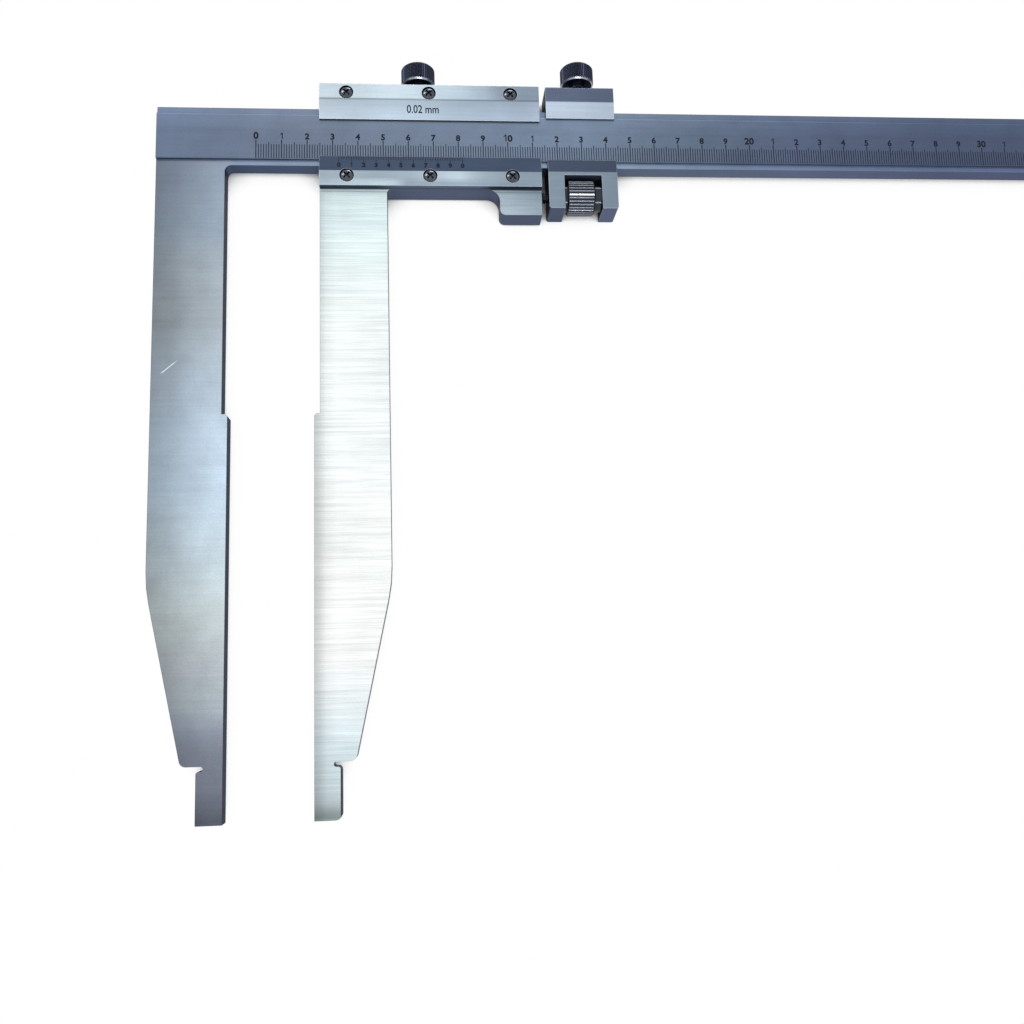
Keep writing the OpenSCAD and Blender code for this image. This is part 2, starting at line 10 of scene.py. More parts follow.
import bmesh
import bpy
import numpy as np
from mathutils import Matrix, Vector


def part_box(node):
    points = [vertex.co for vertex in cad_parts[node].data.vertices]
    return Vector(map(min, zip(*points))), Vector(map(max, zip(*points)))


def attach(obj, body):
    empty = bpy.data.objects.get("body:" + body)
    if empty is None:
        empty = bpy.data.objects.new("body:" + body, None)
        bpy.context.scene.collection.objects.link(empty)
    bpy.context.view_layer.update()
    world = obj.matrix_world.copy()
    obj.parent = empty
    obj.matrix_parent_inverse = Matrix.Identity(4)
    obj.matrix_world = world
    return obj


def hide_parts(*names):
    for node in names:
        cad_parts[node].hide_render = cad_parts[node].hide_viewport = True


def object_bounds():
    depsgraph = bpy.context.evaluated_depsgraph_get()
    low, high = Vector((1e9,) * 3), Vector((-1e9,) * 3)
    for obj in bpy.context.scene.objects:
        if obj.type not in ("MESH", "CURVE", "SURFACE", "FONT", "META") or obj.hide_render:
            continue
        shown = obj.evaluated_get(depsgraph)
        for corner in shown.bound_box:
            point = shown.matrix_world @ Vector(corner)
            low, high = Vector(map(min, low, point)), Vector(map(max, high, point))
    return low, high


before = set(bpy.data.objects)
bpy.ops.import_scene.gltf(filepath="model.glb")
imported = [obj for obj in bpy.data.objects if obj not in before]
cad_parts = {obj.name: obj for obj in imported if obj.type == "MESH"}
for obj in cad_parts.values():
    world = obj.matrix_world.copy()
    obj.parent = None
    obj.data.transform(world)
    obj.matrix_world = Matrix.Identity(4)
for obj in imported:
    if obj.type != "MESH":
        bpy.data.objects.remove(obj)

MM = 0.001
beam_edge, scale_z = 178.5, 4.2  # lower edge (Y) and height (Z) of the scale face, in mm
cad_low, cad_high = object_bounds()
print("CAD box in mm:", [round((b - a) / MM, 1) for a, b in zip(cad_low, cad_high)])

# %% [markdown]
# ## Camera
# The caliper lies flat, and the photographer stood close over the open jaws, a little below
# the beam. A pinhole camera fitted to the lines of the beam's scale gives place, turn and lens.
# A guess by eye would shift the scale's numbers by several pixels, so the fit is kept.

# %% Make the camera
lens = bpy.data.cameras.new("photo_camera")
lens.lens = 34.27
lens.sensor_width = 36.0
lens.clip_start = 0.01
camera = bpy.data.objects.new("photo_camera", lens)
camera.location = (0.077034, -0.020557, 0.369682)
camera.rotation_euler = [radians(turn) for turn in (8.8236, -4.4022, -1.7859)]
bpy.context.collection.objects.link(camera)
bpy.context.scene.camera = camera
print("camera height over the scale face in mm:", round(camera.location.z / MM - scale_z, 1))

# %% [markdown]
# ## Adding nodes
# Every finish below is a small tree of shader nodes. Writing each node and link in full would
# hide the idea, so a few helpers add a node, set its values and link its inputs in one line.

# %% Node helpers
def add(tree, kind, feeds=None, **settings):
    """Adds one node, sets its own options, and links or sets the inputs named in feeds."""
    new = tree.nodes.new(kind)
    for option, value in settings.items():
        setattr(new, option, value)
    for socket, value in (feeds or {}).items():
        if isinstance(value, bpy.types.NodeSocket):
            tree.links.new(value, new.inputs[socket])
        else:
            new.inputs[socket].default_value = value
    return new


def calc(tree, operation, *values, clamp=False):
    """One Math node over up to three numbers or sockets."""
    return add(tree, "ShaderNodeMath", dict(enumerate(values)), operation=operation,
               use_clamp=clamp).outputs[0]


def span(tree, value, low, high, to_low=0.0, to_high=1.0):
    """A straight ramp from to_low at low to to_high at high, and flat outside them."""
    return add(tree, "ShaderNodeMapRange", {
        "Value": value, "From Min": low, "From Max": high,
        "To Min": to_low, "To Max": to_high}).outputs[0]


def blend(tree, share, first, second, mode="MIX"):
    """Mixes two colours by share, in one of the Mix node's modes."""
    mixed = add(tree, "ShaderNodeMix", data_type="RGBA", blend_type=mode, clamp_factor=True)
    for socket, value in ((0, share), (6, first), (7, second)):
        if isinstance(value, bpy.types.NodeSocket):
            tree.links.new(value, mixed.inputs[socket])
        else:
            mixed.inputs[socket].default_value = value
    return mixed.outputs[2]


def rgb(red, green, blue):
    """A colour with full alpha."""
    return (red, green, blue, 1.0)


def grey(tree, level):
    """A grey whose brightness is a socket."""
    return add(tree, "ShaderNodeCombineColor", {0: level, 1: level, 2: level}).outputs[0]


def own_place(tree):
    """The place on the piece, in metres from its own origin."""
    return add(tree, "ShaderNodeTexCoord").outputs["Object"]


def own_normal(tree):
    """X, Y and Z of the direction in which the surface looks."""
    normal = add(tree, "ShaderNodeTexCoord").outputs["Normal"]
    return add(tree, "ShaderNodeSeparateXYZ", {0: normal}).outputs


def minus(tree, vector, origin):
    """A vector less a fixed one, given in metres."""
    return add(tree, "ShaderNodeVectorMath", {0: vector, 1: origin},
               operation="SUBTRACT").outputs[0]


def seen(tree):
    """1 for rays of the camera, of reflections and of glass, and 0 for those that only light."""
    path = add(tree, "ShaderNodeLightPath").outputs
    either = calc(tree, "ADD", path["Is Camera Ray"], path["Is Glossy Ray"])
    return calc(tree, "ADD", either, path["Is Transmission Ray"], clamp=True)

# %% [markdown]
# ## Studio
# A caliper is shown on a plain white table. The floor is a matt white sheet at the height on
# which the caliper rests. Where nothing stands near, the camera and the metal see it as pure
# white. Close to the caliper it is lit like any other surface, so the soft shadow stays, and
# its matt colour is darkened there as painted shade, so the narrow gaps round the nut stay dark.

# %% Floor
shadow_reach = 0.011


def white_floor():
    """White matt sheet. Away from the object it glows for the camera and for reflections.
    Within shadow_reach of it, in metres, the sheet is lit like any other surface, and its matt
    colour darkens there as painted shade."""
    material = bpy.data.materials.new("white_sheet")
    material.use_nodes = True
    tree = material.node_tree
    tree.nodes.clear()
    room = add(tree, "ShaderNodeAmbientOcclusion", {"Distance": shadow_reach},
               samples=8).outputs["AO"]
    clear = span(tree, room, 0.2, 0.55)
    # Painted shade: the sheet's matt colour darkens where the caliper closes it in.
    shade = span(tree, room, 0.05, 0.35, 0.1, 0.9)
    matt = add(tree, "ShaderNodeBsdfDiffuse", {"Color": grey(tree, shade)})
    glow = add(tree, "ShaderNodeEmission", {"Color": rgb(1, 1, 1), "Strength": 1.0})
    mixed = add(tree, "ShaderNodeMixShader", {
        0: calc(tree, "MULTIPLY", seen(tree), clear), 1: matt.outputs[0], 2: glow.outputs[0]})
    out = add(tree, "ShaderNodeOutputMaterial")
    tree.links.new(mixed.outputs[0], out.inputs["Surface"])
    return material


half_floor = 3.0
floor_mesh = bpy.data.meshes.new("floor")
floor_mesh.from_pydata(
    [(x, y, cad_low.z) for x, y in
     ((-half_floor, -half_floor), (half_floor, -half_floor),
      (half_floor, half_floor), (-half_floor, half_floor))], [], [(0, 1, 2, 3)])
floor_mesh.materials.append(white_floor())
floor = bpy.data.objects.new("floor", floor_mesh)
bpy.context.collection.objects.link(floor)
print("floor height in mm:", round(cad_low.z / MM, 2))

# %% [markdown]
# ## Light
# Steel shows its surroundings more than its own colour. A white world keeps the blades even
# and pale. Two large soft lamps over the left and the right give the edges their bright lines.
# Two small low ones, beyond the jaw tips and behind the beam, put the glints on round heads.
# Together they light a level face so that a colour looks as written.

# %% World and lamps
def white_world(lighting):
    """World that is pure white to the camera and to reflections, and lights at a set strength."""
    world = bpy.data.worlds.new("white_room")
    bpy.context.scene.world = world
    world.use_nodes = True
    tree = world.node_tree
    tree.nodes.clear()
    strength = span(tree, seen(tree), 0.0, 1.0, lighting, 1.0)
    sky = add(tree, "ShaderNodeBackground", {"Color": rgb(1, 1, 1), "Strength": strength})
    out = add(tree, "ShaderNodeOutputWorld")
    tree.links.new(sky.outputs[0], out.inputs["Surface"])


def soft_lamp(name, place, target, width, height, watts):
    """Area lamp of a width and height at place that shines towards target."""
    lamp = bpy.data.lights.new(name, "AREA")
    lamp.shape = "RECTANGLE"
    lamp.size = width
    lamp.size_y = height
    lamp.energy = watts
    holder = bpy.data.objects.new(name, lamp)
    holder.location = place
    aim = holder.location - type(holder.location)(target)
    holder.rotation_euler = aim.to_track_quat("Z", "Y").to_euler()
    bpy.context.collection.objects.link(holder)


white_world(lighting=0.66)
middle = (0.15, 0.08, 0.0)
plates, carriage = (0.1, 0.2, 0.0), (0.14, 0.2, 0.0)
soft_lamp("key_lamp", (-0.95, 1.25, 1.25), middle, width=0.5, height=0.5, watts=5.8)
soft_lamp("fill_lamp", (1.3, -0.5, 1.2), middle, width=0.6, height=0.6, watts=3.2)
soft_lamp("low_lamp", (0.2, -0.75, 0.62), plates, width=0.5, height=0.12, watts=2.6)
soft_lamp("back_lamp", (0.28, 1.5, 0.45), carriage, width=0.5, height=0.15, watts=2.6)
bpy.context.scene.view_settings.view_transform = "Standard"

# %% [markdown]
# ## Traces of making and use, and painted light
# Four effects come back on nearly every piece, so each is a node group, built once.
# - The lay: a grinding wheel runs along the beam and leaves fine parallel lines and specks.
# - The edge mask: some parts get light edges, as wear and painted highlight, others dark edges,
#   as painted shade.
# - The corner shade: corners, knurls and counterbores get painted shade, with a little dust.
# - The cloud: a thin oxide film lies in patches a few centimetres wide.

# %% Node group helper
def start_group(name, inputs, outputs):
    """Makes a shader node group with float inputs (name: default) and named outputs."""
    group = bpy.data.node_groups.new(name, "ShaderNodeTree")
    for label, value in inputs.items():
        socket = group.interface.new_socket(label, in_out="INPUT", socket_type="NodeSocketFloat")
        socket.default_value = value
    for label, kind in outputs.items():
        group.interface.new_socket(label, in_out="OUTPUT", socket_type=kind)
    given = group.nodes.new("NodeGroupInput").outputs
    return group, given, group.nodes.new("NodeGroupOutput").inputs


def use(tree, group, **values):
    """Places a group in a tree with its own values; returns the outputs."""
    return add(tree, "ShaderNodeGroup", values, node_tree=group).outputs


noise_range = (0.3, 0.7)  # nearly all of a noise lies between these

# %% Lay of the grinding wheel
def make_lay():
    """Three noises. Lines and bands are stretched along X, by the ratio of their two scales
    (in waves per metre along and across), and the specks are as long as they are wide."""
    group, given, result = start_group(
        "grinding_lay", {"Across": 2600.0},
        {"Lines": "NodeSocketFloat", "Bands": "NodeSocketFloat", "Specks": "NodeSocketFloat"})
    place = own_place(group)
    for label, share, along, detail in (
            ("Lines", 1.0, 60.0, 3.0), ("Bands", 0.32, 22.0, 2.0), ("Specks", 1.3, 3400.0, 1.0)):
        across = calc(group, "MULTIPLY", given["Across"], share)
        stretch = add(group, "ShaderNodeCombineXYZ", {"X": along, "Y": across, "Z": across})
        spot = add(group, "ShaderNodeVectorMath", {0: place, 1: stretch.outputs[0]},
                   operation="MULTIPLY")
        noise = add(group, "ShaderNodeTexNoise",
                    {"Vector": spot.outputs[0], "Scale": 1.0, "Detail": detail, "Roughness": 0.6})
        group.links.new(noise.outputs[0], result[label])
    return group


grinding_lay = make_lay()
print("group:", grinding_lay.name)

# %% Edge mask for wear and painted edge light
def make_edge_mask():
    """One minus the dot product of the true normal and a normal rounded over the edge."""
    group, given, result = start_group(
        "edge_light_and_wear", {"Radius": 0.00035, "Gain": 9.0},
        {"EdgeMask": "NodeSocketFloat", "Normal": "NodeSocketVector"})
    round_over = add(group, "ShaderNodeBevel", {"Radius": given["Radius"]}, samples=6)
    facing = add(group, "ShaderNodeNewGeometry").outputs["Normal"]
    dot = add(group, "ShaderNodeVectorMath", {0: round_over.outputs[0], 1: facing},
              operation="DOT_PRODUCT").outputs["Value"]
    turned = calc(group, "SUBTRACT", 1.0, dot)
    group.links.new(calc(group, "MULTIPLY", turned, given["Gain"], clamp=True), result["EdgeMask"])
    group.links.new(round_over.outputs[0], result["Normal"])
    return group


edge_light_and_wear = make_edge_mask()
print("group:", edge_light_and_wear.name)

# %% Dust and painted shade in corners
def make_dust_and_shade():
    """Painted shade, dark where little open sky is seen within Reach, broken up by fine noise
    like dust.
    """
    group, given, result = start_group(
        "corner_dust_and_shade", {"Reach": 0.0006}, {"DustAndShade": "NodeSocketFloat"})
    room = add(group, "ShaderNodeAmbientOcclusion", {"Distance": given["Reach"]}, samples=8)
    place = own_place(group)
    noise = add(group, "ShaderNodeTexNoise", {"Vector": place, "Scale": 900.0, "Detail": 2.0})
    ragged = span(group, noise.outputs[0], *noise_range, 0.75, 1.1)
    closed = span(group, room.outputs["AO"], 0.25, 0.9, 1.0, 0.0)
    group.links.new(calc(group, "MULTIPLY", closed, ragged, clamp=True), result["DustAndShade"])
    return group


corner_dust_and_shade = make_dust_and_shade()
print("group:", corner_dust_and_shade.name)

# %% Cloud of oxide film
def make_cloud():
    """Soft noise, from a few centimetres down to a few millimetres wide, from 0 to 1."""
    group, given, result = start_group(
        "oxide_cloud", {"Size": 38.0}, {"Cloud": "NodeSocketFloat"})
    place = own_place(group)
    wide = add(group, "ShaderNodeTexNoise",
               {"Vector": place, "Scale": given["Size"], "Detail": 4.0, "Roughness": 0.55})
    group.links.new(span(group, wide.outputs[0], *noise_range), result["Cloud"])
    return group


oxide_cloud = make_cloud()
print("group:", oxide_cloud.name)

# %% [markdown]
# ## Steel finishes
# All the blades and frames are hardened tool steel, but each has its own surface. The faces
# that look up are ground, and the ones along the sides and underneath are only milled; their
# dark colour is painted shade. Each part's tone drifts along it, and the drift paints in the
# light and shade that fall along the piece. One function builds such a steel. The part gives
# its colours as stops along an axis, in millimetres, which is how a maker would point at the
# piece.

# %% Colour along the piece
def ramp(tree, value, stops):
    """Colour that runs straight from stop to stop of a length given in millimetres."""
    first, last = stops[0][0], stops[-1][0]
    colours = add(tree, "ShaderNodeValToRGB",
                  {"Fac": span(tree, value, first * MM, last * MM)})
    marks = colours.color_ramp.elements
    while len(marks) < len(stops):
        marks.new(0.5)
    for mark, (spot, _) in zip(marks, stops):
        mark.position = (spot - first) / (last - first)
    for mark, (_, colour) in zip(sorted(marks, key=lambda m: m.position), stops):
        mark.color = rgb(*colour)
    return colours.outputs[0]


def tone(tree, axis, stops):
    """A ramp of colours along X, Y or Z."""
    place = add(tree, "ShaderNodeSeparateXYZ", {0: own_place(tree)}).outputs
    return ramp(tree, place[axis], stops)


# A face counts as front, flank or underside where its normal's Z, X or Y passes these shares.
front_turn, flank_turn, under_turn = (0.78, 0.92), (0.4, 0.7), (-0.3, -0.6)
# Colours of painted shade with a little dust in corners: on the steels, and on the small parts.
oily_shade, sooty_shade = (0.012, 0.015, 0.022), (0.006, 0.007, 0.012)
# A dark tint of grazing reflections: painted shade on the faces along the sides.
grazing_reflection_shade = (0.32, 0.34, 0.4)


def steel(name, front, top, flank, under, metallic=0.7, roughness=0.4, streak=0.06,
          specks=0.07, cloud=0.09, patch=38.0, edge_paint_share=0.35, edge_paint=(0.9, 0.95, 1.0), dust_and_shade=0.5,
          reach=0.0006):
    """Steel with a ground front, a milled top, and darker faces along and under it, whose dark
    colour is painted shade. The front and the underside are functions, as their tone drifts along
    the piece with painted light and shade. The colour given for the edges lies along them: light
    edges are wear and painted highlight, and dark edges are painted shade."""
    material = bpy.data.materials.new(name)
    material.use_nodes = True
    tree = material.node_tree
    shader = tree.nodes["Principled BSDF"]
    normal = own_normal(tree)
    flat = span(tree, calc(tree, "ABSOLUTE", normal["Z"]), *front_turn)
    across = span(tree, calc(tree, "ABSOLUTE", normal["X"]), *flank_turn)
    down = span(tree, normal["Y"], *under_turn)
    sides = blend(tree, across, rgb(*top), rgb(*flank))
    sides = blend(tree, down, sides, under(tree))
    colour = blend(tree, flat, sides, front(tree))
    lay = use(tree, grinding_lay)
    film = use(tree, oxide_cloud, Size=patch)["Cloud"]
    level = span(tree, lay["Lines"], *noise_range, 1 - streak, 1 + streak)
    for value, swing in ((lay["Bands"], streak), (lay["Specks"], specks)):
        level = calc(tree, "MULTIPLY", level,
                     span(tree, value, *noise_range, 1 - swing, 1 + swing))
    level = calc(tree, "MULTIPLY", level, span(tree, film, 0.0, 1.0, 1 - cloud, 1 + cloud))
    colour = blend(tree, 1.0, colour, grey(tree, level), "MULTIPLY")
    # Edges: light ones are wear and painted highlight, dark ones are painted shade.
    edge = use(tree, edge_light_and_wear)
    wear_and_light_share = calc(tree, "MULTIPLY", edge["EdgeMask"], edge_paint_share)
    colour = blend(tree, wear_and_light_share, colour, rgb(*edge_paint))
    # Corners: painted shade with a little dust, where little open sky is seen.
    dust_and_shade_share = calc(tree, "MULTIPLY", use(tree, corner_dust_and_shade, Reach=reach)["DustAndShade"], dust_and_shade)
    colour = blend(tree, dust_and_shade_share, colour, rgb(*oily_shade))
    tree.links.new(colour, shader.inputs["Base Color"])
    dull = calc(tree, "ADD", span(tree, film, 0.0, 1.0, roughness - 0.05, roughness + 0.05),
                span(tree, lay["Lines"], *noise_range, -0.05, 0.05))
    tree.links.new(dull, shader.inputs["Roughness"])
    bump = add(tree, "ShaderNodeBump", {
        "Strength": 0.25, "Distance": 0.00002, "Height": lay["Lines"], "Normal": edge["Normal"]})
    tree.links.new(bump.outputs[0], shader.inputs["Normal"])
    shader.inputs["Metallic"].default_value = metallic
    shader.inputs["Specular Tint"].default_value = rgb(*grazing_reflection_shade)
    return material


def same(share):
    """A grey that multiplies a colour by share."""
    return (share, share, share)


def dress(material, *nodes):
    """Gives CAD nodes their finish."""
    for node in nodes:
        slots = bpy.data.objects[node].material_slots
        for slot in slots:
            slot.material = material
        print(material.name, "on", node)

# %% [markdown]
# ### Beam and fixed jaw
# The beam is slate grey and satin, and it darkens towards its free end as painted shade. The
# long fixed jaw is lighter half way down and its nib is darker, as painted light and shade. One
# material follows both: the tone along X serves the beam, the tone along Y the jaw, and the step
# lies at the beam's lower edge.

# %% Beam steel
def scratch(tree, start, stop, width):
    """1 on a straight scratch from start to stop (X, Y in mm): the distance from its line is
    below width, and the way along it lies between 0 and its length."""
    start, stop = np.array(start) * MM, np.array(stop) * MM
    length = float(np.linalg.norm(stop - start))
    along = (stop - start) / length
    offset = minus(tree, own_place(tree), (*start, 0.0))
    way, side = (add(tree, "ShaderNodeVectorMath", {0: offset, 1: (*line, 0.0)},
                     operation="DOT_PRODUCT").outputs["Value"]
                 for line in (along, (-along[1], along[0])))
    near = span(tree, calc(tree, "ABSOLUTE", side), width * MM / 2, width * MM, 1.0, 0.0)
    inside = calc(tree, "MULTIPLY", span(tree, way, 0.0, length / 6),
                  span(tree, way, length, length * 0.7))
    return calc(tree, "MULTIPLY", near, inside)


def beam_front(tree):
    """Tone along X above the jaw's root, tone along Y times a rise towards the face below it;
    both paint the light and shade as they fall along the beam and the jaw. The lowered strip
    under the scale is lighter, a dark line of painted shade follows the step at the scale's lower
    edge, and a light line of painted highlight follows its upper edge."""
    beam = tone(tree, "X", [
        (-28, (0.13, 0.171, 0.257)), (30, (0.166, 0.208, 0.29)), (75, (0.19, 0.245, 0.34)),
        (140, (0.2, 0.265, 0.375)), (165, (0.16, 0.21, 0.295)), (185, (0.136, 0.182, 0.262)),
        (225, (0.115, 0.151, 0.24)), (265, (0.096, 0.127, 0.208)), (300, (0.084, 0.112, 0.185)),
        (633, (0.084, 0.113, 0.187))])
    strip = tone(tree, "Y", [
        (beam_edge - 0.1, same(1.5)), (beam_edge + 0.2, same(0.74)), (beam_edge + 1, same(0.86)),
        (beam_edge + 12, same(0.87)), (beam_edge + 18.6, same(1.06)),
        (beam_edge + 18.7, same(1.5)), (beam_edge + 19.1, same(1.5)),
        (beam_edge + 19.3, same(1.12))])
    beam = blend(tree, 1.0, beam, strip, "MULTIPLY")
    jaw = tone(tree, "Y", [
        (-74, (0.072, 0.08, 0.104)), (-62, (0.14, 0.155, 0.195)), (-50, (0.157, 0.177, 0.22)),
        (-44, (0.2, 0.225, 0.28)), (-34, (0.3, 0.345, 0.38)), (-18, (0.375, 0.415, 0.445)),
        (0, (0.455, 0.52, 0.535)), (20, (0.46, 0.545, 0.6)), (45, (0.45, 0.555, 0.655)),
        (68, (0.41, 0.505, 0.6)), (92, (0.36, 0.43, 0.5)), (110, (0.292, 0.337, 0.373)),
        (135, (0.275, 0.32, 0.36)), (150, (0.235, 0.292, 0.357)), (172, (0.202, 0.247, 0.315))])
    rise = tone(tree, "X", [(-28.7, same(0.6)), (-21, same(0.75)), (-14, same(0.98)),
                            (-5, same(1.22)), (0, same(1.28))])
    jaw = blend(tree, 1.0, jaw, rise, "MULTIPLY")
    jaw = blend(tree, scratch(tree, (-25.2, 91.1), (-18.7, 96.6), 0.22), jaw,
                rgb(0.75, 0.8, 0.85))
    left_root = tone(tree, "Y", [(beam_edge - 0.2, same(0)), (beam_edge, same(1))])
    right_root = tone(tree, "Y", [(beam_edge - 3, same(0)), (beam_edge - 2.5, same(1))])
    side = tone(tree, "X", [(-1, same(0)), (2, same(1))])
    return blend(tree, blend(tree, side, left_root, right_root), jaw, beam)


def beam_under(tree):
    """The milled underside is painted in shade, darkest near the fixed jaw."""
    return tone(tree, "X", [(0, (0.062, 0.086, 0.143)), (60, (0.09, 0.12, 0.19)),
                            (150, (0.118, 0.153, 0.225)), (240, (0.115, 0.14, 0.22)),
                            (300, (0.095, 0.115, 0.195))])


# The milled top is darker. The flanks, and the edges of the beam and the moving jaw, are painted
# shade.
dark_top = (0.14, 0.165, 0.22)
dark_flank = (0.026, 0.031, 0.05)
dark_edge = (0.045, 0.055, 0.085)
dress(steel("beam_satin_steel", beam_front, dark_top, dark_flank, beam_under,
            metallic=0.75, roughness=0.42, streak=0.035, specks=0.1, cloud=0.07, patch=95.0,
            edge_paint_share=0.6, edge_paint=dark_edge, dust_and_shade=0.4, reach=0.0007), "main_beam")

# %% [markdown]
# ### Moving jaw and slider
# The moving jaw is freshly ground, with fine lines across it, and its almost white tone is a
# painted reflection. The slider's frame above it and its lug are greyer.

# %% Moving jaw steel
def jaw_front(tree):
    """Nearly white blade with a darker nib and a darker left edge, as painted reflection and
    shade;
    the lug to the right of it is greyer and darkens further to the right, as painted shade. Below
    the foot of the vernier plate follow a dark band of painted shadow, a light line of painted
    highlight and a thin dark line of painted shade."""
    blade = tone(tree, "Y", [
        (-73, (0.26, 0.305, 0.315)), (-67, (0.5, 0.58, 0.61)), (-60, (0.58, 0.68, 0.71)),
        (-52, (0.62, 0.73, 0.76)), (-45, (0.73, 0.835, 0.87)), (-34, (0.79, 0.85, 0.87)),
        (-18, (0.885, 0.91, 0.9)), (20, (0.9, 0.93, 0.92)), (60, (0.88, 0.93, 0.925)),
        (110, (0.86, 0.915, 0.91)), (130, (0.8, 0.885, 0.88)), (150, (0.72, 0.84, 0.855)),
        (160, (0.68, 0.81, 0.83)), (172, (0.6, 0.715, 0.735))])
    # Painted shade darkens the blade towards its left edge, and the lug greys to the right.
    left = tone(tree, "X", [(32.5, same(0.6)), (34.5, same(0.7)), (37, same(0.9)), (41, same(1))])
    blade = blend(tree, 1.0, blade, left, "MULTIPLY")
    lug = tone(tree, "X", [(96, (0.45, 0.54, 0.6)), (110, (0.4, 0.49, 0.56)),
                           (121, (0.31, 0.39, 0.46))])
    right = tone(tree, "X", [(85, same(0)), (90, same(1))])
    colour = blend(tree, right, blade, lug)
    # Painted shadow below the vernier plate's foot, then a painted highlight line and a thin line
    # of painted shade.
    foot = beam_edge - 11.6
    line = tone(tree, "Y", [(foot - 1.7, same(1)), (foot - 1.5, same(0.78)),
                            (foot - 1.3, same(0.78)), (foot - 1.15, same(1.3)),
                            (foot - 0.6, same(1.3)), (foot - 0.45, same(0.25)),
                            (foot, same(0.25))])
    return blend(tree, 1.0, colour, line, "MULTIPLY")


def jaw_under(tree):
    """Rail and lug from below, painted in shade."""
    return tone(tree, "X", [(90, (0.073, 0.095, 0.164)), (112, (0.062, 0.079, 0.145))])


dress(steel("moving_jaw_steel", jaw_front, dark_top, dark_flank, jaw_under,
            metallic=0.5, roughness=0.42, streak=0.085, specks=0.06, cloud=0.05, edge_paint_share=0.5,
            edge_paint=dark_edge, dust_and_shade=0.4, reach=0.0007), "moving_jaw")

# %% [markdown]
# ### Plates and carriage
# The cover plate is bright. The bevel of the vernier plate is satin slate, so that its fine
# lines can be read, and its screwed rim is bright. The carriage has the same two tones, the
# other way round on its upper rail. These light and dark tones are painted reflections and shade.

# %% Plate steels
def cover_front(tree):
    """Bright flat above the bevel line, greyer bevel below; both darken to the right, and the
    bevel is lighter towards its lower edge, all as painted reflection and shade. A thin dark
    line of painted shade marks the bevel line."""
    flat = tone(tree, "X", [(66, (0.58, 0.69, 0.76)), (86, (0.48, 0.585, 0.67)),
                            (101, (0.39, 0.47, 0.56)), (107, (0.275, 0.335, 0.41)),
                            (122, (0.23, 0.295, 0.37))])
    bevel = tone(tree, "X", [(39, (0.5, 0.585, 0.68)), (63, (0.46, 0.56, 0.66)),
                             (87, (0.365, 0.45, 0.54)), (111, (0.34, 0.42, 0.52)),
                             (122, (0.37, 0.44, 0.55))])
    low = tone(tree, "Y", [(beam_edge + 17, same(1.16)), (beam_edge + 25, same(0.94))])
    bevel = blend(tree, 1.0, bevel, low, "MULTIPLY")
    line = beam_edge + 25.4
    above = tone(tree, "Y", [(line - 0.1, same(0)), (line + 0.1, same(1))])
    # Painted shade along the bevel line.
    groove = tone(tree, "Y", [(line - 0.55, same(1)), (line - 0.25, same(0.62)),
                              (line + 0.2, same(0.62)), (line + 0.45, same(1))])
    return blend(tree, 1.0, blend(tree, above, bevel, flat), groove, "MULTIPLY")


def vernier_front(tree):
    """Slate bevel with the graduations, and a bright rim below it whose painted sheen wanders: it
    is brightest low on the left and higher up in the middle. Both tones are painted reflections."""
    high = tone(tree, "X", [(38, (0.35, 0.43, 0.5)), (54, (0.31, 0.39, 0.45)),
                            (70, (0.34, 0.42, 0.49)), (90, (0.53, 0.64, 0.715)),
                            (101, (0.33, 0.41, 0.48)), (120, (0.25, 0.32, 0.39))])
    low = tone(tree, "X", [(38, (0.42, 0.51, 0.58)), (58, (0.5, 0.62, 0.68)),
                           (64, (0.46, 0.57, 0.62)), (69, (0.3, 0.37, 0.44)),
                           (93, (0.34, 0.43, 0.52)), (107, (0.27, 0.34, 0.42)),
                           (120, (0.26, 0.33, 0.41))])
    place = tone(tree, "Y", [(beam_edge - 10.2, same(1)), (beam_edge - 8.2, same(0))])
    rim = blend(tree, place, high, low)
    above = tone(tree, "Y", [(beam_edge - 5.5, same(0)), (beam_edge - 5.3, same(1))])
    return blend(tree, above, rim, rgb(0.052, 0.075, 0.122))


def vernier_under(tree):
    """Painted shade: dark over the jaw and the lug, and lighter over the open arch."""
    return tone(tree, "X", [(57, (0.045, 0.07, 0.1)), (62, (0.1, 0.135, 0.2)),
                            (98, (0.1, 0.135, 0.2)), (103, (0.03, 0.045, 0.07))])


def carriage_front(tree):
    """Slate upper flat, bright upper bevel, slate lower bevel, mid grey legs, fading to the
    right:
    painted reflections and shade.
    """
    colour = tone(tree, "Y", [
        (beam_edge - 25, (0.2, 0.26, 0.32)), (beam_edge - 5.3, (0.22, 0.285, 0.355)),
        (beam_edge - 5.1, (0.049, 0.065, 0.103)), (beam_edge + 1.5, (0.049, 0.065, 0.103)),
        (beam_edge + 5, (0.47, 0.56, 0.68)), (beam_edge + 25.2, (0.48, 0.57, 0.68)),
        (beam_edge + 25.4, (0.108, 0.138, 0.213)), (beam_edge + 32, (0.108, 0.138, 0.213))])
    fade = tone(tree, "X", [(125, same(1.06)), (133, same(1.02)), (150, same(0.92))])
    return blend(tree, 1.0, colour, fade, "MULTIPLY")


def carriage_under(tree):
    """Painted shade: the foot of the right leg is lighter than that of the left one."""
    return tone(tree, "X", [(132, (0.084, 0.102, 0.16)), (147, (0.121, 0.146, 0.23))])


def plain(*colour):
    """A colour that stays the same along the piece."""
    return lambda tree: tone(tree, "X", [(0, colour), (650, colour)])


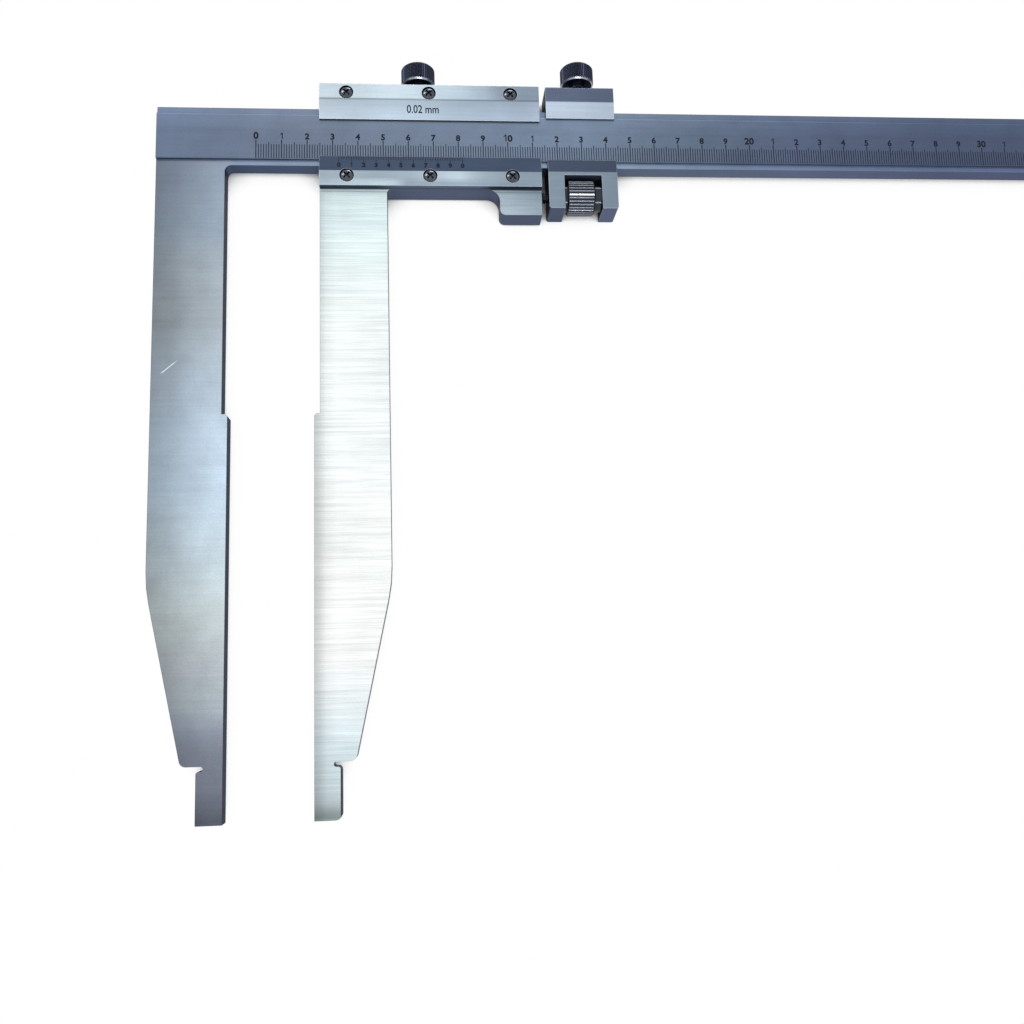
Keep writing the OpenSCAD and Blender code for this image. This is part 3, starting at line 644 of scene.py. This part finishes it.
# Near-black painted shade for the underside of the cover plate.
dark_under = plain(0.006, 0.008, 0.014)
plate = dict(metallic=0.75, streak=0.04, specks=0.05, reach=0.0005)
dress(steel("cover_plate_steel", cover_front, dark_top, dark_flank, dark_under, **plate),
      "cover_plate")
dress(steel("vernier_plate_steel", vernier_front, dark_top, dark_flank, vernier_under, **plate),
      "vernier_plate")
dress(steel("carriage_steel", carriage_front, dark_top, dark_flank, carriage_under, **plate),
      "carriage_frame")
dress(steel("end_stop_steel", plain(0.16, 0.2, 0.28), dark_top, dark_flank,
            plain(0.06, 0.08, 0.13), **plate), "beam_end_stop")

# %% [markdown]
# ## Small parts
# The lock screws are blackened by heating in oil, the plate screws are polished, the nut of
# the fine adjustment is chromed, and the gibs are brass. They are too small for drawn lines,
# so painted shade in the knurls and recesses and painted highlight on the crests and edges
# carry the look.

# %% Small part finishes
# Painted shade darkens the steep rim of a dome, and a lower chamfer gets a painted glint.
dome_turn = (0.72, 0.86)  # the normal's Z, from the steep rim of a dome to its crown
chamfer_low, chamfer_high = (-0.95, -0.85), (-0.4, -0.6)  # the normal's Y on a lower chamfer


def small_metal(name, colour, metallic, roughness, edge_paint_share, edge_paint, dust_and_shade, reach, speckle,
                rim=1.0, ring=None, crest=None):
    """Plain metal with speckled tone, light edges that are wear and painted highlight, and
    painted shade with a little dust in its recesses. Rim is the share of its tone that a dome
    keeps where it turns down to its edge, a painted ring of shade. Ring is the colour of a lower
    chamfer that handling has made bright, lightened further as a painted glint. Crest gives stops
    of tone by the distance in mm from an axis along X (its Y and Z, then the stops), for a knurl
    with painted shade in its grooves and painted highlight on its crests."""
    material = bpy.data.materials.new(name)
    material.use_nodes = True
    tree = material.node_tree
    shader = tree.nodes["Principled BSDF"]
    film = use(tree, oxide_cloud, Size=420.0)["Cloud"]
    level = span(tree, film, 0.0, 1.0, 1 - speckle, 1 + speckle)
    normal = own_normal(tree)
    # Painted shade on the steep rim of a dome.
    level = calc(tree, "MULTIPLY", level,
                 span(tree, calc(tree, "ABSOLUTE", normal["Z"]), *dome_turn, rim, 1.0))
    base = blend(tree, 1.0, rgb(*colour), grey(tree, level), "MULTIPLY")
    # Edges: wear and painted highlight.
    edge = use(tree, edge_light_and_wear, Radius=0.00018, Gain=7.0)
    base = blend(tree, calc(tree, "MULTIPLY", edge["EdgeMask"], edge_paint_share), base, rgb(*edge_paint))
    # Recesses: painted shade with a little dust.
    dust_and_shade_share = calc(tree, "MULTIPLY", use(tree, corner_dust_and_shade, Reach=reach)["DustAndShade"], dust_and_shade)
    base = blend(tree, dust_and_shade_share, base, rgb(*sooty_shade))
    # Knurl: painted shade in its grooves and painted highlight on its crests.
    if crest:
        axis_y, axis_z, stops = crest
        offset = minus(tree, own_place(tree), (0, axis_y * MM, axis_z * MM))
        upright = add(tree, "ShaderNodeVectorMath", {0: offset, 1: (0, 1, 1)},
                      operation="MULTIPLY").outputs[0]
        away = add(tree, "ShaderNodeVectorMath", {0: upright},
                   operation="LENGTH").outputs["Value"]
        base = blend(tree, 1.0, base, ramp(tree, away, stops), "MULTIPLY")
    # Lower chamfer: made bright by handling and lightened further as a painted glint.
    if ring:
        wear_and_light_share = calc(tree, "MULTIPLY", span(tree, normal["Y"], *chamfer_high),
                    span(tree, normal["Y"], *chamfer_low))
        base = blend(tree, wear_and_light_share, base, rgb(*ring))
    tree.links.new(base, shader.inputs["Base Color"])
    tree.links.new(span(tree, film, 0.0, 1.0, roughness * 0.8, roughness * 1.2),
                   shader.inputs["Roughness"])
    tree.links.new(edge["Normal"], shader.inputs["Normal"])
    shader.inputs["Metallic"].default_value = metallic
    return material


# Its lower chamfers carry a painted glint.
black_oxide = small_metal(
    "black_oxide", (0.022, 0.027, 0.048), metallic=0.9, roughness=0.28, edge_paint_share=0.1,
    edge_paint=(0.2, 0.23, 0.3), dust_and_shade=0.7, reach=0.0007, speckle=0.2, ring=(0.3, 0.33, 0.4))
# Painted shade darkens the domes' rims and fills their cross recesses and counterbores.
dark_chrome = small_metal(
    "dark_chrome", (0.085, 0.095, 0.115), metallic=1.0, roughness=0.15, edge_paint_share=0.1,
    edge_paint=(0.5, 0.54, 0.6), dust_and_shade=1.0, reach=0.0022, speckle=0.15, rim=0.12)
nut_low, nut_high = (np.array(corner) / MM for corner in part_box("adjusting_nut"))
nut_y, nut_z = (nut_low[1:] + nut_high[1:]) / 2
# Painted shade in the collars and the knurl's grooves, and painted highlight on its crests.
knurl_shade_and_highlight = [(5.3, same(0.14)), (5.7, same(0.14)), (5.75, same(0.04)), (6.66, same(0.05)),
               (6.8, same(0.2)), (6.92, same(0.75)), (7.1, same(1.1))]
nut_chrome = small_metal(
    "knurled_chrome", (0.3, 0.33, 0.4), metallic=1.0, roughness=0.17, edge_paint_share=0.0,
    edge_paint=(0.7, 0.75, 0.82), dust_and_shade=0.9, reach=0.001, speckle=0.1,
    crest=(nut_y, nut_z, knurl_shade_and_highlight))
gib_brass = small_metal(
    "rubbed_brass", (0.55, 0.38, 0.14), metallic=0.9, roughness=0.35, edge_paint_share=0.2,
    edge_paint=(0.85, 0.7, 0.4), dust_and_shade=0.5, reach=0.0008, speckle=0.15)
dress(black_oxide, "slider_lock_screw", "carriage_lock_screw", "gib_set_screw_1",
      "gib_set_screw_2")
dress(dark_chrome, "end_stop_screw_1", "end_stop_screw_2",
      *[f"{side}_plate_screw_{k}" for side in ("cover", "vernier") for k in (1, 2, 3)])
dress(nut_chrome, "adjusting_nut")
dress(gib_brass, "slider_gib", "carriage_gib")

# %% [markdown]
# ## Mesh helper
# The CAD stops at plain cylinders and bare faces. The pieces below add what is finer: the
# thread, the graduations and the numbers. Each is worked out as arrays of points and faces,
# and one helper makes the mesh and lets it ride on its part.

# %% Mesh helper
def piece(name, points, faces, material, body):
    """Makes one mesh from points (metres) and faces, and lets it ride on a body."""
    mesh = bpy.data.meshes.new(name)
    mesh.from_pydata(np.asarray(points).tolist(), [], [np.asarray(f).tolist() for f in faces])
    mesh.validate()
    mesh.materials.append(material)
    made = bpy.data.objects.new(name, mesh)
    bpy.context.collection.objects.link(made)
    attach(made, body)
    print(name, len(mesh.polygons), "faces on", body)
    return made

# %% [markdown]
# ## Thread of the fine adjustment
# The screw between the lug and the carriage is cut with a fine thread of 0.8 mm pitch, which
# the nut climbs. A screw modifier could turn a profile, but the radius is simpler to write as
# a function of the place along the screw and the angle round it.

# %% Threaded screw
def threaded_rod(start, stop, axis_y, axis_z, outer, depth, pitch, chamfer):
    """Grid over length x and angle a. With t the fraction of x / pitch - a / one turn, the
    radius is outer less depth times a trapezoid of t, and no more than the end chamfers let.
    Steep is the slope of the trapezoid's flanks, and crest the share that stays uncut."""
    around, rows_a_turn = 28, 8
    steep, crest = 2.6, 0.8
    x = np.linspace(start, stop, int((stop - start) / pitch * rows_a_turn) + 1)[:, None]
    angle = (np.arange(around) * tau / around)[None, :]
    t = (x / pitch - angle / tau) % 1.0
    groove = np.clip(steep * (1 - np.abs(2 * t - 1)) - crest, 0, 1)
    to_end = np.minimum(x - start, stop - x)
    radius = np.minimum(outer - depth * groove, outer - chamfer + to_end)
    grid = np.stack([np.broadcast_to(x, radius.shape), axis_y + radius * np.sin(angle),
                     axis_z + radius * np.cos(angle)], axis=-1).reshape(-1, 3)
    rows = len(x)
    i, j = np.meshgrid(np.arange(rows - 1), np.arange(around), indexing="ij")
    k = (j + 1) % around
    quads = np.stack([i * around + j, i * around + k, (i + 1) * around + k,
                      (i + 1) * around + j], axis=-1).reshape(-1, 4)
    ends = [(start, axis_y, axis_z), (stop, axis_y, axis_z)]
    ring = np.arange(around)
    last = (rows - 1) * around
    first_cap = np.stack([0 * ring + len(grid), (ring + 1) % around, ring], axis=-1)
    last_cap = np.stack([0 * ring + len(grid) + 1, last + ring, last + (ring + 1) % around],
                        axis=-1)
    return np.concatenate([grid, ends]) * MM, [*quads, *first_cap, *last_cap]


rod_low, rod_high = (np.array(corner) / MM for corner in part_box("fine_adjust_screw"))
rod_radius = (rod_high[2] - rod_low[2]) / 2
points, faces = threaded_rod(rod_low[0], rod_high[0], (rod_low[1] + rod_high[1]) / 2,
                             (rod_low[2] + rod_high[2]) / 2, rod_radius, depth=0.42,
                             pitch=0.8, chamfer=0.5)
thread = piece("fine_thread", points, faces, dark_chrome, "slider")
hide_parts("fine_adjust_screw")
print("thread from", rod_low.round(1), "to", rod_high.round(1))

# %% [markdown]
# ## Graduations
# The lines and numbers are etched a few hundredths of a millimetre deep and filled with dark
# enamel. A texture could draw them, but the scale's numbers would blur. Each line here is
# a thin closed bar that stands 0.02 mm proud of its face, sunk with its foot in the steel,
# and each set of lines is one mesh that rides on its own part.

# %% Faces that carry graduations
proud, sunk = 0.02, 0.06


def on_face(points, origin, rise):
    """Turns flat (right, up, out) points in mm onto a face through origin, whose up direction
    leans back by rise millimetres of Z per millimetre of Y. Right is always +X."""
    up = np.array([0.0, 1.0, rise]) / np.hypot(1.0, rise)
    out = np.cross([1.0, 0.0, 0.0], up)
    turn = np.array([[1.0, 0.0, 0.0], up, out])
    return (np.asarray(points) @ turn + np.asarray(origin)) * MM

# %% Enamel
enamel = small_metal("dark_enamel", (0.012, 0.016, 0.03), metallic=0.0, roughness=0.8, edge_paint_share=0.0,
                     edge_paint=(0.1, 0.1, 0.1), dust_and_shade=0.0, reach=0.001, speckle=0.3)
enamel.node_tree.nodes["Principled BSDF"].inputs["Specular IOR Level"].default_value = 0.15

# %% Lines
def bars(x, low, high, width):
    """Closed bars as (right, up, out) points and quads. Bar k is the box |right - x[k]| below
    width[k] / 2, up from low[k] to high[k], out from -sunk to proud."""
    corner = np.array([[i, j, k] for k in (0, 1) for j in (0, 1) for i in (-0.5, 0.5)])
    width = np.broadcast_to(width, np.shape(x))
    x, low, high, width = (np.asarray(a, float)[:, None] for a in (x, low, high, width))
    right = x + corner[None, :, 0] * width
    up = low + (high - low) * corner[None, :, 1]
    out = np.broadcast_to(-sunk + (proud + sunk) * corner[None, :, 2], right.shape)
    points = np.stack([right, up, out], axis=-1).reshape(-1, 3)
    box = np.array([[0, 2, 3, 1], [4, 5, 7, 6], [0, 1, 5, 4],
                    [2, 6, 7, 3], [0, 4, 6, 2], [1, 3, 7, 5]])
    faces = (np.arange(len(x))[:, None, None] * 8 + box[None]).reshape(-1, 4)
    return points, faces


scale_zero, scale_length = 9.9, 560
marks_foot = 0.35
marks = np.arange(scale_length + 1)
mark_height = np.where(marks % 10 == 0, 8.1, np.where(marks % 5 == 0, 7.0, 6.2))
mark_width = np.where(marks % 10 == 0, 0.36, 0.29)
points, faces = bars(scale_zero + marks, 0 * marks + marks_foot, mark_height, mark_width)
piece("beam_scale_lines", on_face(points, (0, beam_edge, scale_z), 0), faces,
      enamel, "beam")

# %% Vernier lines
vernier_zero, vernier_divisions, vernier_step = 42.4, 50, 0.98
bevel_top, bevel_top_z = 1.3, 4.53  # the bevel's ends: Y over beam_edge, and Z
bevel_foot, bevel_foot_z = -5.4, 5.7
vernier_top = (0, beam_edge + bevel_top, bevel_top_z)
vernier_rise = (bevel_top_z - bevel_foot_z) / (bevel_top - bevel_foot)
marks = np.arange(vernier_divisions + 1)
mark_height = np.where(marks % 5 == 0, 2.75, 1.75)
edge_gap, line_width = 0.1, 0.22
points, faces = bars(vernier_zero + marks * vernier_step, -mark_height,
                     0 * marks - edge_gap, line_width)
piece("vernier_lines", on_face(points, vernier_top, vernier_rise), faces,
      enamel, "slider")

# %% [markdown]
# ## Numbers
# The numbers are plain upright digits. Drawing outlines by hand would take long, so the
# built-in font gives each glyph as a flat shape with a small thickness. Each glyph is made a
# closed mesh, and copies of its points are placed along the scale as arrays.

# %% Glyphs
one_outline = [(0.03, 0), (0.18, 0), (0.18, 1), (0.07, 1), (-0.2, 0.77), (-0.2, 0.62),
               (0.03, 0.77)]  # in shares of a digit's height


def glyph(text, weight=0.04):
    """Closed mesh of a text, centred on right = 0, foot at up = 0, digits digit_height high.
    The font's 1 is a bare stroke, so a 1 is filled from its own outline, with its flag."""
    if text == "1":
        curve = bpy.data.curves.new("glyph", "CURVE")
        curve.dimensions = "2D"
        curve.fill_mode = "BOTH"
        line = curve.splines.new("POLY")
        line.points.add(len(one_outline) - 1)
        line.points.foreach_set("co", np.array(
            [(x * digit_height, y * digit_height, 0, 1) for x, y in one_outline]).ravel())
        line.use_cyclic_u = True
    else:
        curve = bpy.data.curves.new("glyph", "FONT")
        curve.body = text
        curve.align_x = "CENTER"
        curve.offset = weight
        curve.resolution_u = 4
    curve.extrude = 0.5
    carrier = bpy.data.objects.new("glyph", curve)
    bpy.context.collection.objects.link(carrier)
    shape = bmesh.new()
    shape.from_mesh(carrier.to_mesh())
    bmesh.ops.remove_doubles(shape, verts=shape.verts, dist=1e-5)
    bmesh.ops.recalc_face_normals(shape, faces=shape.faces)
    bmesh.ops.triangulate(shape, faces=shape.faces)
    shape.verts.index_update()
    points = np.array([v.co for v in shape.verts])
    faces = np.array([[v.index for v in f.verts] for f in shape.faces])
    shape.free()
    bpy.data.objects.remove(carrier)
    bpy.data.curves.remove(curve)
    return points, faces


digit_height = np.ptp(glyph("4")[0][:, 1])
print("digits of the font are", round(digit_height, 3), "high")


def words(texts, rights, ups, heights, narrow=1.0, weight=0.04):
    """Joins glyphs: each text scaled to its height, centred at its right, foot at its up."""
    all_points, all_faces, count = [], [], 0
    for text, right, up, height in zip(texts, rights, ups, heights):
        points, faces = glyph(text, weight)
        size = height / digit_height
        depth = np.where(points[:, 2] > 0, proud, -sunk)
        all_points.append(np.stack([points[:, 0] * size * narrow + right,
                                    points[:, 1] * size + up, depth], axis=-1))
        all_faces.append(faces + count)
        count += len(points)
    return np.concatenate(all_points), np.concatenate(all_faces)


large, small, half_pair, number_foot = 3.0, 2.65, 0.98, 8.5
centimetres = range(scale_length // 10 + 1)
texts = ["0"] + [str(c % 10) for c in centimetres if c % 10]
heights = [large] + [small] * (len(texts) - 1)
rights = [0.0] + [10.0 * c for c in centimetres if c % 10]
for ten in range(10, len(centimetres), 10):
    texts += [str(ten // 10), "0"]
    heights += [large, large]
    rights += [10 * ten - half_pair, 10 * ten + half_pair]
rights = np.array(rights) + scale_zero
points, faces = words(texts, rights, [number_foot] * len(texts), heights)
piece("beam_scale_numbers", on_face(points, (0, beam_edge, scale_z), 0), faces,
      enamel, "beam")

# %% Vernier numbers
tenths = range(11)
tenth_foot, tenth_height = -5.05, 2.1
points, faces = words([str(t % 10) for t in tenths],
                      [vernier_zero + t * 5 * vernier_step for t in tenths],
                      [tenth_foot] * len(tenths), [tenth_height] * len(tenths), weight=0.055)
piece("vernier_numbers", on_face(points, vernier_top, vernier_rise), faces,
      enamel, "slider")

# %% Reading step on the cover plate
cover_foot, cover_z, cover_rise = beam_edge + 16.9, 4.98, 0.72 / 8.5
step, step_right, step_foot, step_height, step_length = "0.02 mm", 76.0, 2.9, 3.6, 13.0
font_length = np.ptp(glyph(step)[0][:, 0]) / digit_height * step_height
points, faces = words([step], [step_right], [step_foot], [step_height],
                      narrow=step_length / font_length, weight=0.012)
piece("reading_step_words", on_face(points, (0, cover_foot, cover_z), cover_rise), faces,
      enamel, "slider")
